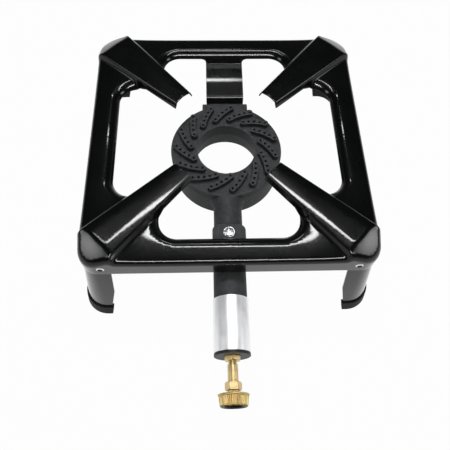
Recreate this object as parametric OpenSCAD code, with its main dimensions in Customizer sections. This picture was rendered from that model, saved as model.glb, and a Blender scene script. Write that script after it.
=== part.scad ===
// Propane burner stand: a pressed steel top on four riveted legs, carrying a
// cast ring burner with its mixing tube, air shutter and threaded gas inlet.
// Millimetres. +Z up, the gas inlet points along -Y, the floor is z = 0.

/* [Frame] */
// Side of the square top, over the skirt
frame_side = 300; // [270:1:340]
// Plan radius of the outer corners
corner_r = 18; // [14:0.5:24]
// Straight height of the outer skirt
skirt_h = 20; // [16:0.5:26]
// Radius of the shoulder between skirt and bar top
shoulder_r = 5; // [3:0.5:7]
// Width of the four bars, skirt to window
bar_w = 30; // [27:0.5:34]
// Radius of the crown over the outer half of a bar
bar_crown_r = 105; // [80:5:160]
// Radius of the long rounding on the window side of a bar
bar_round = 12; // [9:0.5:14]
// Depth of the turned-down window flange below the bar top
flange_h = 7.5; // [5:0.5:9]
// Plan radius where a bar runs into a rib
window_r = 18; // [12:0.5:22]
// Thickness of the pressed sheet
sheet_t = 1.5; // [1:0.1:2]

/* [Ribs] */
// Height of the rib crest over the bar top
rib_h = 9; // [6:0.5:12]
// Rib width at its corner end, over the side walls' upper edges
rib_w_corner = 41.5; // [36:0.5:46]
// Rib width at its free tip, over the side walls' upper edges
rib_w_tip = 22; // [18:0.5:27]
// Radius of the concave tips around the burner
tip_r = 68; // [66:0.5:80]
// Side wall draft, degrees from upright
rib_draft = 19; // [12:0.5:24]
// Radius of the rounding between side wall and crest
rib_round = 3; // [2.5:0.1:3.5]
// Radius of the fillet at the foot of a side wall
rib_fillet = 3.5; // [2:0.1:4]
// Radius of the crown towards the sides of the crest
crown_r = 80; // [60:1:140]
// Distance of the crown's highest line from the upper edge of a side wall
crown_in = 16; // [13:0.5:18]
// Depth ground off the crown as the flat land that carries the pan
crest_flat = 0.15; // [0.1:0.05:0.4]
// Distance from the square corner to the end of the crest
facet_inset = 31; // [26:0.5:36]
// Slope of the corner facet, degrees
facet_slope = 32; // [24:1:38]

/* [Burner supports] */
// Width of the rear strap
strap_w = 44; // [34:1:50]
// Height of the strap run above the skirt edge
strap_z = 8.5; // [6:0.5:11]
// Drop of the strap run from its middle to the burner
strap_fall = 2.5; // [0:0.5:4]
// Length of the shelf under the burner lug
shelf_l = 12; // [8:0.5:16]
// Width of the front tab
tab_w = 35; // [28:1:42]
// Reach of the front tab into the window
tab_l = 26; // [22:0.5:30]
// Radius of the front tab's corners
tab_r = 7.5; // [3:0.5:10]
// Bend radius of strap and tab, on the sheet centre
bend_r = 3; // [2:0.25:4]
// Radius of the flares where the strap leaves the bar
strap_flare = 6; // [3:0.5:8]

/* [Legs] */
// Height of the skirt edge over the floor
leg_h = 90; // [70:1:140]
// Outward splay, degrees on each face
leg_splay = 7.3; // [4:0.1:10]
// Width of a leg face at the skirt edge
leg_w_top = 31; // [26:0.5:36]
// Width of a leg face at the knee
leg_w_knee = 28; // [24:0.5:32]
// Width of a leg face at the floor, from the skirt plane
leg_w_foot = 17; // [12:0.5:22]
// Drop from the skirt edge to the knee
knee_h = 41; // [30:1:60]
// Thickness of the leg sheet
leg_t = 1.5; // [1:0.1:2.5]
// Corner radius of a leg at the floor
leg_foot_r = 24; // [18:0.5:28]
// Height of the riveted upper part, above the skirt edge
leg_up = 17; // [14:0.5:19]
// Height of a foot cap
foot_h = 15; // [10:0.5:20]
// Wall of a foot cap
foot_wall = 1.8; // [1.2:0.1:2.4]
// Floor of a foot cap
foot_floor = 3; // [2:0.5:5]

/* [Fasteners] */
// Rivet shank diameter
rivet_d = 4; // [3:0.1:4.8]
// Rivet head diameter
rivet_head_d = 8; // [6.5:0.1:9.5]
// Rivet head height
rivet_head_h = 1.3; // [0.8:0.1:2]
// Rivet distance from the outer side of the corner
rivet_in = 22.5; // [20:0.5:26]
// Rivet height above the skirt edge
rivet_z = 11.5; // [8:0.5:12.5]
// Burner bolt thread diameter
bolt_d = 6; // [5:0.5:6.5]
// Burner bolt head diameter
bolt_head_d = 12; // [10:0.5:13]
// Burner bolt head height
bolt_head_h = 3.6; // [2.5:0.1:5]
// Burner bolt distance in front of the tab bend
bolt_in = 16.6; // [13:0.1:18]

/* [Burner] */
// Outer diameter of the burner ring
ring_d = 126; // [122:0.5:130]
// Bore through the burner ring
ring_bore = 66; // [60:0.5:68]
// Height of the burner ring without its ridges
ring_h = 41.5; // [36:0.5:46]
// Ring top face below the skirt edge
ring_below = 3.5; // [2:0.5:6]
// Ring centre behind the frame centre
ring_back = 3; // [0:0.5:4]
// Thickness of the head plate
head_t = 5.5; // [4:0.5:8]
// Depth of the head collar inside the bore
collar_h = 16; // [12:0.5:20]
// Wall of the burner castings
cast_wall = 4; // [3:0.25:5]
// Draft of the bowl outside, degrees
bowl_draft = 2; // [0:0.5:4]
// Draft of the bowl inside the bore, degrees
bore_draft = 10; // [4:0.5:11]
// Radius at the foot of the bowl
bowl_round = 4; // [3:0.5:6]
// Number of ridges on the head
ridge_n = 15; // [11:1:15]
// Ports on each ridge
port_n = 5; // [3:1:6]
// Port diameter
port_d = 2.8; // [1.6:0.1:3.2]
// Distance of the innermost ports from the bore
port_in = 7; // [6:0.5:9]
// Distance of the outermost ports from the outside of the ring
port_out = 6.5; // [5:0.5:8]
// Angle that a ridge spiral makes with the radius, degrees
ridge_pitch = 50; // [30:1:54]
// Ridge width
ridge_w = 7; // [5:0.25:7.5]
// Ridge height
ridge_h = 6; // [3:0.5:7]
// Width of the rear lug
lug_w = 54; // [48:1:60]
// Depth of the rear lug
lug_h = 9.5; // [8:0.5:13]
// Reach of the lug behind the ring
lug_out = 4; // [2:0.5:6]

/* [Mixing tube] */
// Axis of the tube below the skirt edge
tube_below = 19; // [19:0.5:20]
// Tube diameter between the ring and the tab
neck_d = 31; // [28:0.5:32]
// Tube diameter under the air shutter
tube_d = 34; // [33:0.5:35]
// Inner diameter of the tube
tube_bore = 25; // [20:0.5:26]
// Length of the tube in front of the skirt
tube_out = 77; // [72:1:110]
// Length of the taper from neck to tube
taper_l = 18; // [10:1:22]
// Thickness of the end wall
end_wall = 5; // [3:0.5:7]
// Length of the air windows
window_l = 17; // [12:0.5:18]
// Height of the air windows
window_h = 17; // [10:0.5:20]

/* [Air shutter] */
// Length of the sliding sleeve
shutter_l = 54; // [48:1:55]
// Wall of the sleeve
shutter_t = 0.92; // [0.8:0.02:1.4]
// Thickness of the end disc
disc_t = 2.7; // [1.5:0.1:4]

/* [Gas inlet] */
// Gas pipe diameter
pipe_d = 10.2; // [9:0.1:11]
// Threaded end of the pipe
pipe_thread_d = 8; // [7:0.1:8.4]
// Gas passage through pipe and nipple
gas_bore = 4; // [3:0.1:4.4]
// Length of the pipe body
pipe_l = 16.5; // [12:0.5:40]
// Thread left showing behind the lock nut
thread_show = 3; // [1:0.5:6]
// Length of the thread inside the end wall
pipe_in = 8; // [5:0.5:10]
// Lock nut across the flats
lock_af = 15; // [13:0.5:17]
// Lock nut thickness
lock_h = 4.2; // [3:0.1:6]
// Nipple hexagon across the flats
hex_af = 14; // [13:0.5:17]
// Nipple hexagon length
hex_l = 8; // [5:0.5:12]
// Nipple neck diameter
nipple_neck_d = 11; // [10:0.1:12]
// Neck left showing between hexagon and union nut
neck_show = 3; // [1:0.5:8]
// Union nut diameter at the rear lip
nut_lip_d = 30; // [28:0.5:34]
// Union nut diameter behind the lip
nut_rear_d = 28.4; // [26.5:0.1:29]
// Union nut diameter at the open end
nut_front_d = 26; // [24.5:0.1:28]
// Union nut length
nut_l = 11.6; // [10.8:0.2:16]
// Rear wall of the union nut
nut_back = 2.5; // [2:0.1:4]
// Thread diameter of the gas inlet, measured on its wall
inlet_d = 18.4; // [17:0.1:20]
// Free depth of the gas inlet thread
inlet_l = 6; // [4:0.1:6.4]

/* [Hidden] */

$fn = 64;
smooth_fn = 48;
arc_step = 8;
eps = 0.5;

// clearances
seat_gap = 0.05;     // pieces pushed or screwed together
slide_gap = 0.08;    // running fit of a turning or sliding piece
free_gap = 0.3;      // between pieces that never touch

// frame levels, with z = 0 at the skirt edge
half = frame_side / 2;
inner = half - bar_w;
bar_top = skirt_h + shoulder_r;
crest_z = bar_top + rib_h;
flange_z = bar_top - flange_h;
round_z = bar_top - bar_round;

// rib lines, in the rib's own frame: u outwards along the diagonal, v across
rib_far = half * sqrt(2);
crest_end = rib_far - facet_inset;
rib_taper = atan((rib_w_corner - rib_w_tip) / 2 / (crest_end - tip_r));

// rib section square to a side wall: [distance outwards from its upper edge, height]
crown_o = [-crown_in, crest_z + crest_flat - crown_r];
edge_z = crown_o[1] + sqrt(crown_r * crown_r - crown_in * crown_in);
wall_n = [cos(rib_draft), sin(rib_draft)];
wall_d = [sin(rib_draft), -cos(rib_draft)];
rounding_o = let (q = [0, edge_z] - rib_round * wall_n - crown_o, b = q * wall_d)
    crown_o + q - wall_d * (b + sqrt(b * b - q * q + pow(crown_r - rib_round, 2)));
crown_start = atan2(rounding_o[1] - crown_o[1], rounding_o[0] - crown_o[0]);
fillet_o = [(rib_fillet - (bar_top + rib_fillet - edge_z) * wall_n[1]) / wall_n[0],
            bar_top + rib_fillet];
rib_root = rib_w_tip / 2 + tan(rib_draft) * (edge_z - bar_top);

// bar section: [distance from the frame centre, height]
bar_crown_o = [inner + bar_round, bar_top - bar_crown_r];
shoulder_o = [half - shoulder_r,
              bar_crown_o[1] + sqrt(pow(bar_crown_r - shoulder_r, 2)
                                    - pow(half - shoulder_r - bar_crown_o[0], 2))];

// window corner, in the quarter between the +X bar and the +X+Y rib; the window's edge
// runs a little inside the rib wall, so that the wall stays whole
edge_n = [cos(-45 - rib_taper), sin(-45 - rib_taper)];
edge_p = along(tip_r, rib_root - free_gap);
fillet_x = inner - window_r;
fillet_y = (edge_n * edge_p + window_r - edge_n[0] * fillet_x) / edge_n[1];
fillet_turn = 135 - rib_taper;
fillet_at = [(fillet_x - edge_n[0] * window_r + fillet_y - edge_n[1] * window_r) / sqrt(2), 0];

// the free part of a rib is trimmed level with the bar tops up to trim_to, and the trim
// has run out into the window flange at trim_from
trim_to = fillet_at[0];
trim_from = fillet_at[0] + window_r;
trim_w = 2 * rib_w_corner - rib_w_tip;
fillet_dip = 5;

// burner levels
ring_r = ring_d / 2;
bore_r = ring_bore / 2;
head_top = -ring_below;
head_bottom = head_top - head_t;
ring_bottom = head_top - ring_h;
seam_z = head_top - collar_h;
lug_rear = ring_back + ring_r + lug_out;
lug_bottom = head_top - lug_h;
bowl_edge = cast_wall * 2 / 3;
lug_chamfer = 1.5;
ear_below = 1;
lug_draft = 1.5;
port_r = port_d / 2;
port_r_in = bore_r + port_in;
port_r_out = ring_r - port_out;
bore_step = 1;
spiral = tan(ridge_pitch);
first_ridge = -85;

// a rivet's hole and set end, as shares of its shank
rivet_hole = 0.55;
rivet_set_r = 1.4;
rivet_set_h = 1.3;

// tube levels and stations along -Y
axis_z = -tube_below;
neck_r = neck_d / 2;
tube_r = tube_d / 2;
tube_end = -half - tube_out;
taper_in = 10;        // from the skirt back to the end of the neck's taper
taper_end = -half + taper_in;
flare_grow = 3;       // how far the tube opens towards the bowl
flare_r = neck_r + flare_grow;
flare_l = 10;
flare_in = 2;         // of the flare's wide end that lies inside the bowl
trough_in = 3;        // from the bowl's wall to the start of the tube
tab_bend_y = -(inner + bar_edge() + sheet_t / 2);
bolt_y = tab_bend_y + bolt_in;
pad_top = axis_z + tube_r;
pad_w = 26;
pad_l = 23;
bolt_past = 2;        // of the bolt that shows inside the tube
bolt_reach = pad_top - axis_z - tube_bore / 2 + bolt_past;
bolt_rim = bolt_head_h / 8;

// shutter and inlet stations
shutter_r = tube_r + slide_gap;
shutter_end = tube_end + free_gap;
window_end = tube_end + end_wall;
window_y = window_end + window_l / 2;
disc_r = shutter_r + shutter_t;
disc_end = tube_end - disc_t;
lock_end = disc_end - lock_h;
thread_end = lock_end - thread_show;
pipe_end = thread_end - pipe_l;
hex_end = pipe_end - hex_l;
nut_start = hex_end - neck_show;
nut_end = nut_start - nut_l;
relief_start = nut_start - nut_back;
relief_end = nut_end + inlet_l;
relief_in = 0.7;      // depth of the relief behind the inlet thread
relief_r = inlet_d / 2 + relief_in;
collar_in = 1.6;      // radial room round the nipple's collar
collar_r = relief_r - collar_in;
collar_start = relief_start - free_gap;
washer_t = 1.1;
collar_end = relief_end + free_gap / 2 + washer_t;
jet_start = tube_end + pipe_in;
hex_turn = 30;        // a flat of the nipple's hexagon faces up
chamfer_part = 0.9;   // of a hexagon's corner that its chamfer takes off
chamfer_slope = 0.6;
pipe_lead_d = 0.6;    // lead-in at the back of the pipe's body
pipe_lead_l = 0.8;
jet_af = 7;
jet_hex_l = 4.5;
jet_nose_l = 4;
jet_nose_r = 2.4;
jet_tip_r = jet_nose_r * 0.7;
orifice = 0.5;        // radius of the jet's front hole

// the row's origin: middle of the footprint, on the floor
splay = tan(leg_splay);
foot_out = half - sheet_t + splay * leg_h + foot_wall;
origin_y = (nut_end + foot_out) / 2;

// ---------------------------------------------------------------- helpers

// how far the rounded flange has drawn back from the bar's inner line at its foot
function bar_edge() = bar_round - sqrt(bar_round * bar_round - pow(flange_z - round_z, 2));

// plan point at distance u along the +X+Y diagonal and v to its +X side
function along(u, v) = [(u + v) / sqrt(2), (u - v) / sqrt(2)];

// path with its inner corners rounded to radius r
function arc_points(a, b, c, r) =
    let (p = (a - b) / norm(a - b), q = (c - b) / norm(c - b),
         half_turn = acos(p * q) / 2,
         cut = r / tan(half_turn),
         m = (p + q) / norm(p + q),
         o = b + m * (r / sin(half_turn)),
         s = b + p * cut - o, e = b + q * cut - o,
         steps = ceil((90 - half_turn) / 9))
    [for (i = [0:steps]) let (k = i / steps, w = s * (1 - k) + e * k) o + w / norm(w) * r];

function rounded_path(pts, r) =
    [pts[0],
     each [for (i = [1:len(pts) - 2]) each arc_points(pts[i - 1], pts[i], pts[i + 1], r)],
     pts[len(pts) - 1]];

// points on an arc about o between two angles, ends included
function arc(o, r, from, to) =
    let (steps = ceil(max(abs(to - from) / arc_step, 4)))
    [for (i = [0:steps]) let (a = from + (to - from) * i / steps) o + r * [cos(a), sin(a)]];

// left-hand normal of a path at point i
function path_normal(p, i) =
    let (a = p[max(i - 1, 0)], b = p[min(i + 1, len(p) - 1)], d = (b - a) / norm(b - a))
    [-d[1], d[0]];

function strip_outline(p, t) =
    [each [for (i = [0:len(p) - 1]) p[i] + path_normal(p, i) * t / 2],
     each [for (i = [len(p) - 1:-1:0]) p[i] - path_normal(p, i) * t / 2]];

// everything is drawn about the frame centre at the skirt edge, then set on the floor
module place() translate([0, -origin_y, leg_h]) children();

module four_ways() for (turn = [0:90:270]) rotate([0, 0, turn]) children();

// both sides of the +X+Y diagonal
module both_sides() {
    children();
    mirror([1, -1, 0]) children();
}

// solid of revolution about the tube axis; the profile is [radius, distance along -Y]
module lathe(profile) translate([0, 0, axis_z]) rotate([90, 0, 0]) rotate_extrude()
    polygon(profile);

module hex_bar(af, from, to, turn = 0) translate([0, from, axis_z]) rotate([90, 0, 0])
    rotate([0, 0, turn]) cylinder(r = af / sqrt(3), h = from - to, $fn = 6);

module rod(r, from, to) translate([0, from, axis_z]) rotate([90, 0, 0])
    cylinder(r = r, h = from - to);

module rounded_square(h, r) {
    square([2 * h, 2 * (h - r)], center = true);
    square([2 * (h - r), 2 * h], center = true);
    four_ways() translate([h - r, h - r]) circle(r);
}

// bent sheet of width w from a path of [y, z] points
module bent_sheet(pts, r, w) translate([-w / 2, 0, 0]) rotate([90, 0, 90])
    linear_extrude(w) polygon(strip_outline(rounded_path(pts, r), sheet_t));

// ---------------------------------------------------------------- pressed top

// section across two opposite bars: skirt, shoulder, crown and the level run to the window
module bar_section(inset) for (flip = [0, 1]) mirror([flip, 0]) {
    low = inset > 0 ? -eps : 0;
    top = bar_top - inset;
    translate(shoulder_o) circle(shoulder_r - inset);
    intersection() {
        translate(bar_crown_o) circle(bar_crown_r - inset, $fn = 4 * smooth_fn);
        polygon([bar_crown_o, bar_crown_o + 2 * (shoulder_o - bar_crown_o),
                 bar_crown_o + [0, 2 * bar_crown_r]]);
    }
    polygon([[-eps, low], [half - inset, low], [half - inset, shoulder_o[1]], shoulder_o,
             [bar_crown_o[0], top], [-eps, top]]);
}

// square block with round corners, rounded shoulders and crowned sides
module tray(inset) intersection() {
    translate([0, 0, -eps]) linear_extrude(2 * bar_top)
        rounded_square(half - inset, corner_r - inset);
    rotate([90, 0, 0]) linear_extrude(3 * half, center = true) bar_section(inset);
    rotate([90, 0, 90]) linear_extrude(3 * half, center = true) bar_section(inset);
}

// window between two ribs, opened by grow on every side
module window(grow) {
    r = window_r + grow;
    deep = along(tip_r / 2, rib_root - free_gap - tip_r / 2 * tan(rib_taper) - grow);
    turned = [fillet_x, fillet_y] - edge_n * r;
    polygon([deep, turned, [inner + grow, fillet_y], [inner + grow, -fillet_y],
             [turned[0], -turned[1]], [deep[0], -deep[1]]]);
    for (side = [-1, 1]) translate([fillet_x, side * fillet_y]) circle(r);
}

// what the rounding takes off the window side of the bars
module round_off(inset) {
    r = bar_round - inset;
    deep = bar_round + eps;
    translate([inner - eps, 0, round_z]) difference() {
        translate([0, -fillet_y, 0]) cube([deep, 2 * fillet_y, deep]);
        translate([deep, 0, 0]) rotate([90, 0, 0])
            cylinder(r = r, h = 4 * fillet_y, center = true);
    }
    both_sides() translate([fillet_x, fillet_y, round_z]) rotate_extrude(angle = fillet_turn)
        difference() {
            translate([window_r - eps, 0]) square([deep, deep]);
            translate([window_r + bar_round, 0]) circle(r);
        }
}

// lays a section along the upper edge of both side walls of the +X+Y rib
module along_walls() rotate([0, 0, 45]) for (flip = [0, 1]) mirror([0, flip, 0])
    wall_frame(window_r) children();

module wall_frame(from) translate([tip_r, rib_w_tip / 2, 0]) rotate([0, 0, rib_taper])
    translate([from, 0, 0]) rotate([90, 0, 90]) linear_extrude(2 * rib_far - from) children();

// one side of a rib: wall, rounding and crown up to the level land
module rib_side(inset) {
    low = inset > 0 ? -eps : 0;
    top = crest_z - inset;
    wall = rounding_o + (rib_round - inset) * wall_n;
    crown_end = asin((top - crown_o[1]) / (crown_r - inset));
    polygon([[wall[0] + (wall[1] - low) * tan(rib_draft), low],
             each arc(rounding_o, rib_round - inset, rib_draft, crown_start),
             each arc(crown_o, crown_r - inset, crown_start, crown_end),
             [-rib_far, top], [-rib_far, low]]);
}

// fillet at the foot of a side wall; its thin end dips under the bar top
module wall_fillet(inset) {
    r = rib_fillet + inset;
    top = bar_top - inset;
    low = top - 2 * sheet_t;
    reach = fillet_o[0] + 2 * rib_fillet;
    foot = fillet_o - r * wall_n;
    polygon([[-rib_fillet, low], [-rib_fillet, foot[1]],
             each arc(fillet_o, r, 180 + rib_draft, 270),
             [reach, top - (reach - fillet_o[0]) * tan(fillet_dip)], [reach, low]]);
}

// the fillets stop short of the shoulder with a slope
module fillet_field() {
    a = half - shoulder_r / 2;
    outline = [[-a, 0], [a, 0], [a, skirt_h], [a - rib_h, skirt_h + rib_h],
               [rib_h - a, skirt_h + rib_h], [-a, skirt_h]];
    intersection() {
        rotate([90, 0, 0]) linear_extrude(3 * half, center = true) polygon(outline);
        rotate([90, 0, 90]) linear_extrude(3 * half, center = true) polygon(outline);
    }
}

// the four bars as a solid, drawn in by inset
module rim(inset) difference() {
    union() {
        tray(inset);
        intersection() {
            four_ways() along_walls() wall_fillet(inset);
            fillet_field();
        }
    }
    translate([0, 0, -2 * eps]) linear_extrude(2 * crest_z) four_ways() window(inset);
    four_ways() round_off(inset);
}

// one rib along +X+Y as a solid, drawn in by inset
module rib(inset) rotate([0, 0, 45]) intersection() {
    wall_frame(-2 * rib_far) rib_side(inset);
    mirror([0, 1, 0]) wall_frame(-2 * rib_far) rib_side(inset);
    translate([0, -rib_w_corner, -crest_z]) cube([rib_far, 2 * rib_w_corner, 3 * crest_z]);
}

// what is trimmed from under the free part of a rib, running out at the window corner
module rib_trim() rotate([0, 0, 45]) rotate([90, 0, 0])
    linear_extrude(trim_w, center = true)
        polygon([[0, -eps], [trim_from, -eps], [trim_from, flange_z], [trim_to, bar_top],
                 [0, bar_top]]);

// sloping facet at the outer end of a rib
module facet(inset) rotate([0, 0, 45]) translate([crest_end, 0, crest_z])
    rotate([0, facet_slope, 0]) translate([-half, -half, -inset])
        cube([2 * half, 2 * half, half]);

module pressing(inset) difference() {
    union() {
        rim(inset);
        intersection() {
            four_ways() rib(inset);
            translate([0, 0, -eps]) linear_extrude(2 * crest_z)
                rounded_square(half - inset, corner_r - inset);
        }
    }
    four_ways() facet(inset);
    if (inset == 0) translate([0, 0, -eps]) cylinder(r = tip_r, h = 2 * crest_z);
}

// rear strap: down from the bar, in over the window, down again and under the lug
module rear_strap() {
    root_y = inner + bar_edge() + sheet_t / 2;
    wall_y = lug_rear + seat_gap + sheet_t / 2;
    shelf_z = lug_bottom - sheet_t / 2;
    difference() {
        bent_sheet([[root_y, flange_z], [root_y, strap_z], [(root_y + wall_y) / 2, strap_z],
                    [wall_y, strap_z - strap_fall], [wall_y, shelf_z],
                    [wall_y - shelf_l, shelf_z]], bend_r * 2 / 3, strap_w);
        // the shelf follows the round of the bowl
        at_ring() translate([0, 0, ring_bottom]) cylinder(r = ring_r + free_gap, h = ring_h);
    }
    for (flip = [0, 1]) mirror([flip, 0, 0])
        translate([strap_w / 2, root_y + sheet_t / 2, flange_z]) rotate([90, 0, 0])
            linear_extrude(sheet_t) difference() {
                translate([-eps, -strap_flare]) square([strap_flare + eps, strap_flare]);
                translate([strap_flare, -strap_flare - free_gap / 2])
                    circle(strap_flare - free_gap / 2);
            }
}

// front tab that the burner bolt passes through
module front_tab() {
    tab_z = pad_top + sheet_t / 2;
    tip_y = tab_bend_y + tab_l;
    difference() {
        intersection() {
            bent_sheet([[tab_bend_y, flange_z], [tab_bend_y, tab_z], [tip_y, tab_z]],
                       bend_r, tab_w);
            translate([0, tip_y, -2 * bar_top]) linear_extrude(4 * bar_top) {
                translate([-tab_w / 2, -2 * tab_l]) square([tab_w, 2 * tab_l - tab_r]);
                translate([tab_r - tab_w / 2, -2 * tab_l])
                    square([tab_w - 2 * tab_r, 2 * tab_l]);
                for (side = [-1, 1]) translate([side * (tab_w / 2 - tab_r), -tab_r])
                    circle(tab_r);
            }
        }
        translate([0, bolt_y, tab_z]) cylinder(r = bolt_d / 2 + free_gap, h = 4 * sheet_t,
                                               center = true);
    }
}

module at_rivets() four_ways() both_sides() translate([half, half - rivet_in, rivet_z])
    rotate([0, 90, 0]) children();

module top_frame() color("#141517") place() difference() {
    union() {
        difference() {
            pressing(0);
            pressing(sheet_t);
            translate([0, 0, -eps]) linear_extrude(flange_z + eps)
                rounded_square(half - sheet_t, corner_r - sheet_t);
            four_ways() rib_trim();
        }
        rear_strap();
        front_tab();
    }
    at_rivets() cylinder(r = rivet_d / 2 + seat_gap, h = 3 * sheet_t, center = true);
}

// ---------------------------------------------------------------- legs and feet

// square column with round corners that grows from one section to the next
module column(h0, r0, z0, h1, r1, z1) hull() {
    thin = 0.01;
    for (s = [[h0, r0, z0 - thin], [h1, r1, z1]]) four_ways()
        translate([s[0] - s[1], s[0] - s[1], s[2]]) cylinder(r = s[1], h = thin, $fn = smooth_fn);
}

// splayed part of a leg wall, grown outwards by out, between two levels
module splayed(out, z0, z1) {
    h = half - sheet_t;
    r = corner_r - sheet_t;
    function size(z) = h - splay * z + out;
    function rad(z) = r + (leg_foot_r - r) * -z / leg_h + out;
    column(size(z0), rad(z0), z0, size(z1), rad(z1), z1);
}

// edges of a leg seen square on, grown by more
module leg_outline(more) {
    face = half - leg_w_top - more;
    knee = half - leg_w_knee - more;
    floor_edge = half - leg_w_foot - more;
    polygon([[face, leg_up + eps], [face, 0], [knee, -knee_h], [floor_edge, -leg_h],
             [2 * half, -leg_h], [2 * half, leg_up + eps]]);
}

// the +X+Y corner, as seen from both its faces
module leg_region(more) intersection() {
    translate([0, 2 * half, 0]) rotate([90, 0, 0]) linear_extrude(2 * half)
        leg_outline(more);
    rotate([90, 0, 90]) linear_extrude(2 * half) leg_outline(more);
}

module leg() difference() {
    intersection() {
        union() {
            linear_extrude(leg_up) rounded_square(half - sheet_t, corner_r - sheet_t);
            splayed(0, 2 * sheet_t, foot_floor - leg_h);
        }
        leg_region(0);
    }
    translate([0, 0, -eps]) linear_extrude(leg_up + 2 * eps)
        rounded_square(half - sheet_t - leg_t, corner_r - sheet_t - leg_t);
    splayed(-leg_t, 2 * sheet_t, -leg_h);
    both_sides() translate([half, half - rivet_in, rivet_z]) rotate([0, 90, 0])
        cylinder(r = rivet_d / 2 + seat_gap, h = 6 * sheet_t, center = true);
}

// cap that wraps the lower edge of the leg sheet
module foot() difference() {
    rim_z = foot_h - leg_h;
    intersection() {
        splayed(foot_wall, rim_z, -leg_h);
        leg_region(foot_wall);
    }
    splayed(-leg_t - foot_wall, rim_z + eps, -leg_h - eps);
    // the pocket for the leg sheet
    intersection() {
        difference() {
            splayed(seat_gap, rim_z + eps, foot_floor - leg_h - seat_gap);
            splayed(-leg_t - seat_gap, rim_z + 2 * eps, -leg_h);
        }
        leg_region(seat_gap);
    }
}

module leg_front_left() color("#2b2c2f") place() rotate([0, 0, 180]) leg();
module leg_front_right() color("#2b2c2f") place() rotate([0, 0, 270]) leg();
module leg_rear_left() color("#2b2c2f") place() rotate([0, 0, 90]) leg();
module leg_rear_right() color("#2b2c2f") place() leg();

module foot_front_left() color("#0b0b0c") place() rotate([0, 0, 180]) foot();
module foot_front_right() color("#0b0b0c") place() rotate([0, 0, 270]) foot();
module foot_rear_left() color("#0b0b0c") place() rotate([0, 0, 90]) foot();
module foot_rear_right() color("#0b0b0c") place() foot();

// hollow pop rivet: domed head, shank and the set end inside
module rivet() {
    r = rivet_d / 2;
    grip = sheet_t + leg_t;
    head_r = rivet_head_d / 2;
    hole_r = r * rivet_hole;
    set_r = r * rivet_set_r;
    set_h = r * rivet_set_h;
    dome_r = (head_r * head_r + rivet_head_h * rivet_head_h) / (2 * rivet_head_h);
    rotate_extrude() {
        intersection() {
            translate([hole_r, 0]) square([head_r - hole_r, rivet_head_h]);
            translate([0, rivet_head_h - dome_r]) circle(dome_r, $fn = 4 * smooth_fn);
        }
        translate([hole_r, -grip - set_h]) square([r - hole_r, grip + set_h + eps]);
        translate([0, -grip - set_h]) square([set_r, set_h]);
    }
}

module leg_rivets() color("#c9c9c6") place() at_rivets() rivet();

// ---------------------------------------------------------------- burner castings

module at_ring() translate([0, ring_back, 0]) children();

// bowl section: outer wall, floor and the lower part of the bore wall
module bowl_section() {
    foot_r = ring_r - tan(bowl_draft) * (ring_h - head_t);
    bore_top = bore_r + bore_step;
    edge_low = ring_bottom + cast_wall;
    bore_low = bore_top + tan(bore_draft) * (seam_z - edge_low);
    difference() {
        union() {
            polygon([[bore_top, head_bottom], [bore_top, seam_z], [bore_low, edge_low],
                     [bore_low + bowl_edge, ring_bottom],
                     [foot_r - bowl_round, ring_bottom], [foot_r, ring_bottom + bowl_round],
                     [ring_r, head_bottom]]);
            translate([foot_r - bowl_round, ring_bottom + bowl_round]) circle(bowl_round);
        }
        translate([bore_r - eps, seam_z]) square([cast_wall + 2 * eps, ring_h]);
        polygon([[bore_r + cast_wall, seam_z], [bore_low + cast_wall, edge_low],
                 [foot_r - cast_wall, edge_low], [ring_r - cast_wall, head_bottom + eps],
                 [bore_r + cast_wall, head_bottom + eps]]);
    }
}

module tube_body() {
    start = ring_back - ring_r + cast_wall + trough_in;
    flare_y = ring_r - ring_back - flare_in;
    lathe([[0, -start], [flare_r, -start], [flare_r, flare_y], [neck_r, flare_y + flare_l],
           [neck_r, -taper_end - taper_l], [tube_r, -taper_end], [tube_r, -tube_end], [0, -tube_end]]);
    translate([-pad_w / 2, bolt_y - pad_l / 2, axis_z]) cube([pad_w, pad_l, tube_r]);
}

module lug() difference() {
    translate([-lug_w / 2, 0, lug_bottom]) cube([lug_w, lug_rear, lug_h - ear_below]);
    // the seat of the head's own lug, between two ears
    translate([-strap_w / 2 - seat_gap, 0, head_bottom])
        cube([strap_w + 2 * seat_gap, 2 * ring_r, lug_h]);
    // sides drawn in towards the top, and the lower rear edge broken
    for (flip = [0, 1]) mirror([flip, 0, 0]) translate([lug_w / 2, 0, lug_bottom])
        rotate([0, -lug_draft, 0]) translate([0, -eps, -eps])
            cube([ring_r, ring_r * 2, lug_h * 2]);
    translate([0, lug_rear, lug_bottom]) rotate([45, 0, 0])
        cube([2 * lug_w, lug_chamfer * sqrt(2), lug_chamfer * sqrt(2)], center = true);
    at_ring() translate([0, 0, head_bottom]) cylinder(r = ring_r + seat_gap, h = 2 * lug_h);
    at_ring() translate([0, 0, ring_bottom]) cylinder(r = ring_r - cast_wall, h = 2 * ring_h);
}

module burner_body() color("#33373a") place() difference() {
    union() {
        at_ring() rotate_extrude() bowl_section();
        difference() {
            tube_body();
            at_ring() translate([0, 0, ring_bottom])
                cylinder(r = ring_r - cast_wall - 2, h = 2 * ring_h);
            at_ring() translate([0, 0, head_bottom])
                cylinder(r = ring_r + seat_gap, h = ring_h);
        }
        lug();
    }
    rod(tube_bore / 2, ring_back - ring_r + 2 * cast_wall + trough_in, window_end);
    rod(pipe_thread_d / 2 + seat_gap, window_end + eps, tube_end - eps);
    translate([0, window_y, axis_z]) cube([2 * tube_d, window_l, window_h], center = true);
    translate([0, bolt_y, axis_z]) cylinder(r = bolt_d / 2 + seat_gap, h = 2 * tube_r);
}

// point on a ridge's spiral at radius r
function ridge_angle(r) = -spiral * ln(r / port_r_in) * 180 / PI;
function ridge_point(r) = r * [cos(ridge_angle(r)), sin(ridge_angle(r))];
function port_at(i) = port_r_in + (port_r_out - port_r_in) * i / (port_n - 1);

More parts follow.
